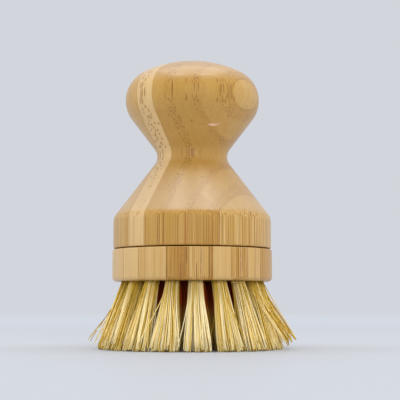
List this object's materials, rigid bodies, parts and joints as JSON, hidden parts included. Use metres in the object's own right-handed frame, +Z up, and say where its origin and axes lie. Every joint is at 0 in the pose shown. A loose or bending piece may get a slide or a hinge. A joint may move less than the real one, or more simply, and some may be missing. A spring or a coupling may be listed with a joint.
{
  "type": "palm brush",
  "caption": "Hand-held scrubbing brush: a waisted, knobbed bamboo handle screwed onto a round bamboo head set with rings of splayed plant-fibre tufts.",
  "frame": {"origin": "middle of the flat plane that the trimmed bristle tips stand on", "axes": "+Z up along the brush's axis, from the bristle tips to the knob; -Y is the side that the picture shows"},
  "size_m": [0.078, 0.0782, 0.1085],
  "materials": {
    "bamboo_handle": "satin oiled bamboo",
    "bamboo_block": "satin oiled bamboo",
    "bristle_fibre": "dry plant fibre",
    "steel": "zinc plated",
    "brass": "turned"
  },
  "bodies": {
    "brush_head": {"brush_block": "bamboo_block", "stud": "steel", "anchors_inner": "steel", "anchors_middle": "steel", "anchors_outer": "steel", "tuft_inner_01": "bristle_fibre", "tuft_inner_02": "bristle_fibre", "tuft_inner_03": "bristle_fibre", "tuft_inner_04": "bristle_fibre", "tuft_inner_05": "bristle_fibre", "tuft_inner_06": "bristle_fibre", "tuft_middle_01": "bristle_fibre", "tuft_middle_02": "bristle_fibre", "tuft_middle_03": "bristle_fibre", "tuft_middle_04": "bristle_fibre", "tuft_middle_05": "bristle_fibre", "tuft_middle_06": "bristle_fibre", "tuft_middle_07": "bristle_fibre", "tuft_middle_08": "bristle_fibre", "tuft_middle_09": "bristle_fibre", "tuft_middle_10": "bristle_fibre", "tuft_middle_11": "bristle_fibre", "tuft_middle_12": "bristle_fibre", "tuft_outer_01": "bristle_fibre", "tuft_outer_02": "bristle_fibre", "tuft_outer_03": "bristle_fibre", "tuft_outer_04": "bristle_fibre", "tuft_outer_05": "bristle_fibre", "tuft_outer_06": "bristle_fibre", "tuft_outer_07": "bristle_fibre", "tuft_outer_08": "bristle_fibre", "tuft_outer_09": "bristle_fibre", "tuft_outer_10": "bristle_fibre", "tuft_outer_11": "bristle_fibre", "tuft_outer_12": "bristle_fibre", "tuft_outer_13": "bristle_fibre", "tuft_outer_14": "bristle_fibre", "tuft_outer_15": "bristle_fibre", "tuft_outer_16": "bristle_fibre", "tuft_outer_17": "bristle_fibre", "tuft_outer_18": "bristle_fibre"},
    "insert": {"handle_insert": "brass"},
    "handle": {"handle": "bamboo_handle"}
  },
  "joints": [
    {"name": "thread_lift", "type": "slide", "parent": "brush_head", "child": "insert", "axis": [0, 0, 1], "range_m": [0, 0.01]},
    {"name": "handle_turn", "type": "hinge", "parent": "insert", "child": "handle", "pos_m": [0, 0, 0.0373], "axis": [0, 0, 1], "range_deg": [0, 3600]}
  ],
  "couplings": [
    {"joint": "thread_lift", "follows": "handle_turn", "m_per_rad": 0.00015915}
  ]
}
